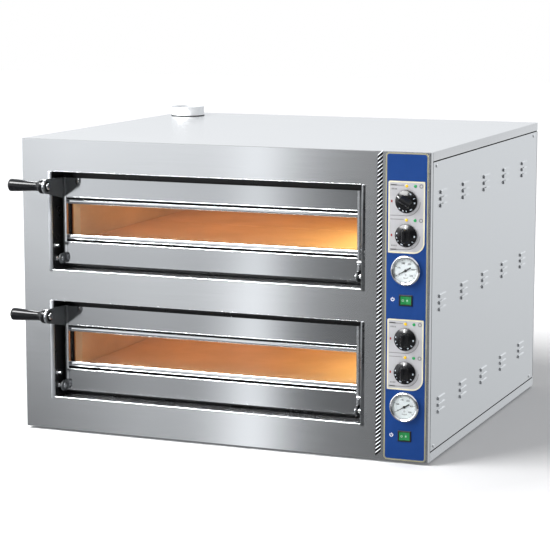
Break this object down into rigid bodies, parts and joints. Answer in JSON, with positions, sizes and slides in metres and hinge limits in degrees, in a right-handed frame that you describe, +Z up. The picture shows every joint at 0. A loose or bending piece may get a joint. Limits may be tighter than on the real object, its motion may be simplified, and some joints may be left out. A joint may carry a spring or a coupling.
{
  "type": "countertop pizza oven",
  "caption": "Electric two-deck pizza oven with drop-down windowed doors on side arms, a control column at the right and a steam collar on top.",
  "frame": {"origin": "bottom centre of the whole oven's bounding box, on the counter, doors shut", "axes": "+X to the right as seen from the front, +Y towards the back, +Z up"},
  "size_m": [1.035, 1.002, 0.7315],
  "materials": {
    "stainless": "brushed stainless steel sheet",
    "door_stainless": "bright polished stainless steel sheet",
    "galvanised": "dull galvanised sheet",
    "black_enamel": "heat-proof black, satin",
    "liner": "aluminised steel, heat-tinted",
    "stone": "cordierite baking stone",
    "mineral_wool": "mineral wool",
    "element": "dark oxidised tube",
    "clear_glass": "clear toughened glass",
    "lever_steel": "dark grey, satin",
    "phenolic": "glossy black phenolic",
    "chrome": "bright chromed steel",
    "blue_film": "blue printed film, satin",
    "print_plate": "light grey printed film",
    "knob_black": "black moulded plastic",
    "spindle_steel": "zinc-plated steel",
    "needle": "black",
    "dial": "white printed metal",
    "switch_black": "black moulded plastic",
    "switch_green": "green lit plastic",
    "amber_lens": "amber lens",
    "green_lens": "green lens",
    "black_plastic": "black nylon",
    "control_body": "cream moulding",
    "ceramic": "white steatite",
    "rubber": "black rubber"
  },
  "bodies": {
    "casing": {"base_pan": "galvanised", "feet": "rubber", "top_cover": "stainless", "right_side_panel": "stainless", "left_side_panel": "stainless", "rear_panel": "galvanised", "front_fascia": "stainless", "panel_screws": "chrome", "control_overlay": "blue_film", "control_plates": "print_plate", "control_bulkhead": "galvanised", "steam_collar": "stainless", "steam_flue": "galvanised", "recess_frames": "black_enamel", "cable_gland": "black_plastic", "terminal_block": "control_body", "hinge_studs": "chrome", "chamber_lamp_glasses": "clear_glass", "chamber_lamp_holders": "ceramic", "thermostats": "control_body", "gauge_cases": "chrome", "gauge_dials": "dial", "gauge_glasses": "clear_glass", "rocker_bezels": "switch_black", "amber_indicator_lamps": "amber_lens", "green_indicator_lamps": "green_lens", "lower_chamber_liner": "liner", "lower_baking_stones": "stone", "lower_heating_elements": "element", "lower_insulation": "mineral_wool", "upper_chamber_liner": "liner", "upper_baking_stones": "stone", "upper_heating_elements": "element", "upper_insulation": "mineral_wool"},
    "lower_door": {"lower_door_frame": "door_stainless", "lower_door_glass": "clear_glass", "lower_door_trims": "door_stainless", "lower_door_arms": "door_stainless", "lower_handle_bracket": "lever_steel", "lower_handle_fixings": "chrome", "lower_handle_grip": "phenolic"},
    "lower_top_dial": {"lower_top_spindle": "spindle_steel", "lower_top_knob": "knob_black"},
    "lower_bottom_dial": {"lower_bottom_spindle": "spindle_steel", "lower_bottom_knob": "knob_black"},
    "lower_needle": {"lower_gauge_needle": "needle"},
    "lower_switch": {"lower_rocker": "switch_green"},
    "upper_door": {"upper_door_frame": "door_stainless", "upper_door_glass": "clear_glass", "upper_door_trims": "door_stainless", "upper_door_arms": "door_stainless", "upper_handle_bracket": "lever_steel", "upper_handle_fixings": "chrome", "upper_handle_grip": "phenolic"},
    "upper_top_dial": {"upper_top_spindle": "spindle_steel", "upper_top_knob": "knob_black"},
    "upper_bottom_dial": {"upper_bottom_spindle": "spindle_steel", "upper_bottom_knob": "knob_black"},
    "upper_needle": {"upper_gauge_needle": "needle"},
    "upper_switch": {"upper_rocker": "switch_green"}
  },
  "joints": [
    {"name": "lower_door_hinge", "type": "hinge", "parent": "casing", "child": "lower_door", "pos_m": [-0.0375, -0.421, 0.1085], "axis": [1, 0, 0], "range_deg": [0, 90]},
    {"name": "lower_top_knob_turn", "type": "hinge", "parent": "casing", "child": "lower_top_dial", "pos_m": [0.459, -0.451, 0.2858], "axis": [0, 1, 0], "range_deg": [0, 300]},
    {"name": "lower_bottom_knob_turn", "type": "hinge", "parent": "casing", "child": "lower_bottom_dial", "pos_m": [0.459, -0.451, 0.2097], "axis": [0, 1, 0], "range_deg": [0, 300]},
    {"name": "lower_needle_turn", "type": "hinge", "parent": "casing", "child": "lower_needle", "pos_m": [0.459, -0.4453, 0.1315], "axis": [0, 1, 0], "range_deg": [0, 240], "stiffness_Nm_per_rad": 0.002},
    {"name": "lower_rocker_tilt", "type": "hinge", "parent": "casing", "child": "lower_switch", "pos_m": [0.459, -0.44, 0.0638], "axis": [0, 0, 1], "range_deg": [-14, 0]},
    {"name": "upper_door_hinge", "type": "hinge", "parent": "casing", "child": "upper_door", "pos_m": [-0.0375, -0.421, 0.4185], "axis": [1, 0, 0], "range_deg": [0, 90]},
    {"name": "upper_top_knob_turn", "type": "hinge", "parent": "casing", "child": "upper_top_dial", "pos_m": [0.459, -0.451, 0.5958], "axis": [0, 1, 0], "range_deg": [-300, 0]},
    {"name": "upper_bottom_knob_turn", "type": "hinge", "parent": "casing", "child": "upper_bottom_dial", "pos_m": [0.459, -0.451, 0.5197], "axis": [0, 1, 0], "range_deg": [0, 300]},
    {"name": "upper_needle_turn", "type": "hinge", "parent": "casing", "child": "upper_needle", "pos_m": [0.459, -0.4453, 0.4415], "axis": [0, 1, 0], "range_deg": [0, 240], "stiffness_Nm_per_rad": 0.002},
    {"name": "upper_rocker_tilt", "type": "hinge", "parent": "casing", "child": "upper_switch", "pos_m": [0.459, -0.44, 0.3738], "axis": [0, 0, 1], "range_deg": [-14, 0]}
  ]
}
